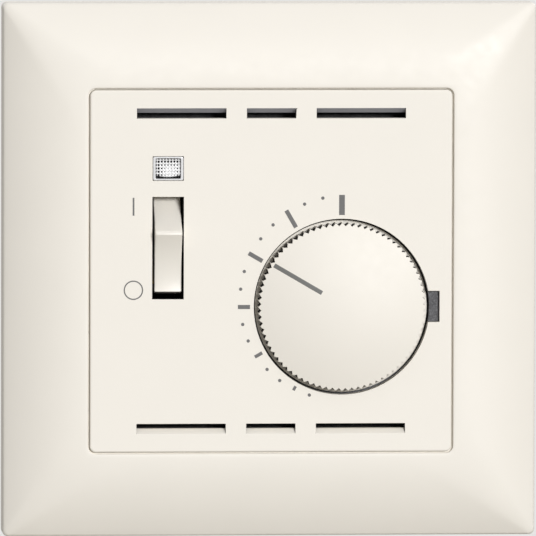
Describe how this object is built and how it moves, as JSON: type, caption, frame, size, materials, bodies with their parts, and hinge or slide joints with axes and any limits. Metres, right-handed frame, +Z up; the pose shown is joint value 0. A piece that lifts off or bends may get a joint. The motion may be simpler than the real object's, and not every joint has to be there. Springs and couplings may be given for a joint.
{
  "type": "wall thermostat",
  "caption": "Flush-mounted room thermostat: square cover frame, centre plate with setting knob, on/off rocker, indicator lens and air slots, with its works behind.",
  "frame": {"origin": "centre of the wall-screw circle on the wall plane", "axes": "+X right and +Z up as seen from the room, +Y into the wall"},
  "size_m": [0.088, 0.034, 0.088],
  "materials": {
    "cream_frame": "satin",
    "cream_plate": "satin, finely textured",
    "cream_knob": "satin",
    "cream_rocker": "satin",
    "mark_ink": "matt print",
    "pointer_grey": "matt",
    "clear_lens": "clear, moulded pyramids",
    "steel": "zinc plated",
    "dark_plastic": "fine matt",
    "black_plastic": "fine matt",
    "brass": "bright",
    "bush_metal": "sintered, matt",
    "red_plastic": "satin",
    "blue_plastic": "satin",
    "cam_plastic": "matt",
    "silver_contact": "bright silver",
    "magnet": "matt sintered",
    "bimetal": "rolled",
    "white_plastic": "gloss",
    "lamp_glass": "clear",
    "resistor_body": "lacquered",
    "tinned_wire": "tinned"
  },
  "bodies": {
    "base": {"cover_frame": "cream_frame", "cover_plate": "cream_plate", "scale_marks": "mark_ink", "switch_marks": "mark_ink", "indicator_lens": "clear_lens", "mounting_plate": "steel", "chassis": "dark_plastic", "rear_housing": "black_plastic", "housing_screws": "steel", "spindle_bush": "bush_metal", "lever_pivot_pin": "steel", "lever_strip": "brass", "bimetal_clamp": "brass", "calibration_screw": "steel", "rocker_axle": "steel", "switch_housing": "black_plastic", "switch_fulcrum": "brass", "switch_fixed_contact": "silver_contact", "switch_contact_strip": "brass", "lamp_holder": "white_plastic", "neon_lamp": "lamp_glass", "lamp_leads": "tinned_wire", "lamp_resistor": "resistor_body", "feedback_resistor": "resistor_body", "feedback_leads": "tinned_wire", "terminal_cages": "brass", "terminal_screws": "steel"},
    "setting_knob": {"knob": "cream_knob", "knob_pointer": "pointer_grey", "min_limit_ring": "blue_plastic", "max_limit_ring": "red_plastic", "spindle": "steel", "spindle_clip": "steel", "setpoint_cam": "cam_plastic"},
    "setpoint_lever": {"setpoint_lever": "cam_plastic", "lever_contact": "silver_contact", "snap_magnet": "magnet"},
    "bimetal": {"bimetal_strip": "bimetal", "bimetal_contact": "silver_contact", "armature": "steel"},
    "rocker": {"rocker": "cream_rocker", "plunger": "steel", "plunger_spring": "steel"},
    "contact_blade": {"switch_blade": "brass", "blade_contact": "silver_contact"}
  },
  "joints": [
    {"name": "knob_turn", "type": "hinge", "parent": "base", "child": "setting_knob", "pos_m": [0.01165, -0.0123, -0.0059], "axis": [0, 1, 0], "range_deg": [-100, 60]},
    {"name": "lever_lift", "type": "hinge", "parent": "base", "child": "setpoint_lever", "pos_m": [-0.009, 0.0035, 0.0015], "axis": [0, 1, 0], "range_deg": [-1.7, 2.8]},
    {"name": "bimetal_bend", "type": "hinge", "parent": "base", "child": "bimetal", "pos_m": [-0.009, 0.0035, 0.0063], "axis": [0, 1, 0], "range_deg": [-1.25, 1.25], "stiffness_Nm_per_rad": 0.02},
    {"name": "rocker_tilt", "type": "hinge", "parent": "base", "child": "rocker", "pos_m": [-0.017, -0.0005, 0.00384], "axis": [1, 0, 0], "range_deg": [0, 26]},
    {"name": "blade_tilt", "type": "hinge", "parent": "base", "child": "contact_blade", "pos_m": [-0.017, 0.0073, 0.00384], "axis": [1, 0, 0], "range_deg": [-16, 0]}
  ],
  "couplings": [
    {"joint": "lever_lift", "follows": "knob_turn", "ratio": -0.0277},
    {"joint": "blade_tilt", "follows": "rocker_tilt", "ratio": -0.6153}
  ]
}
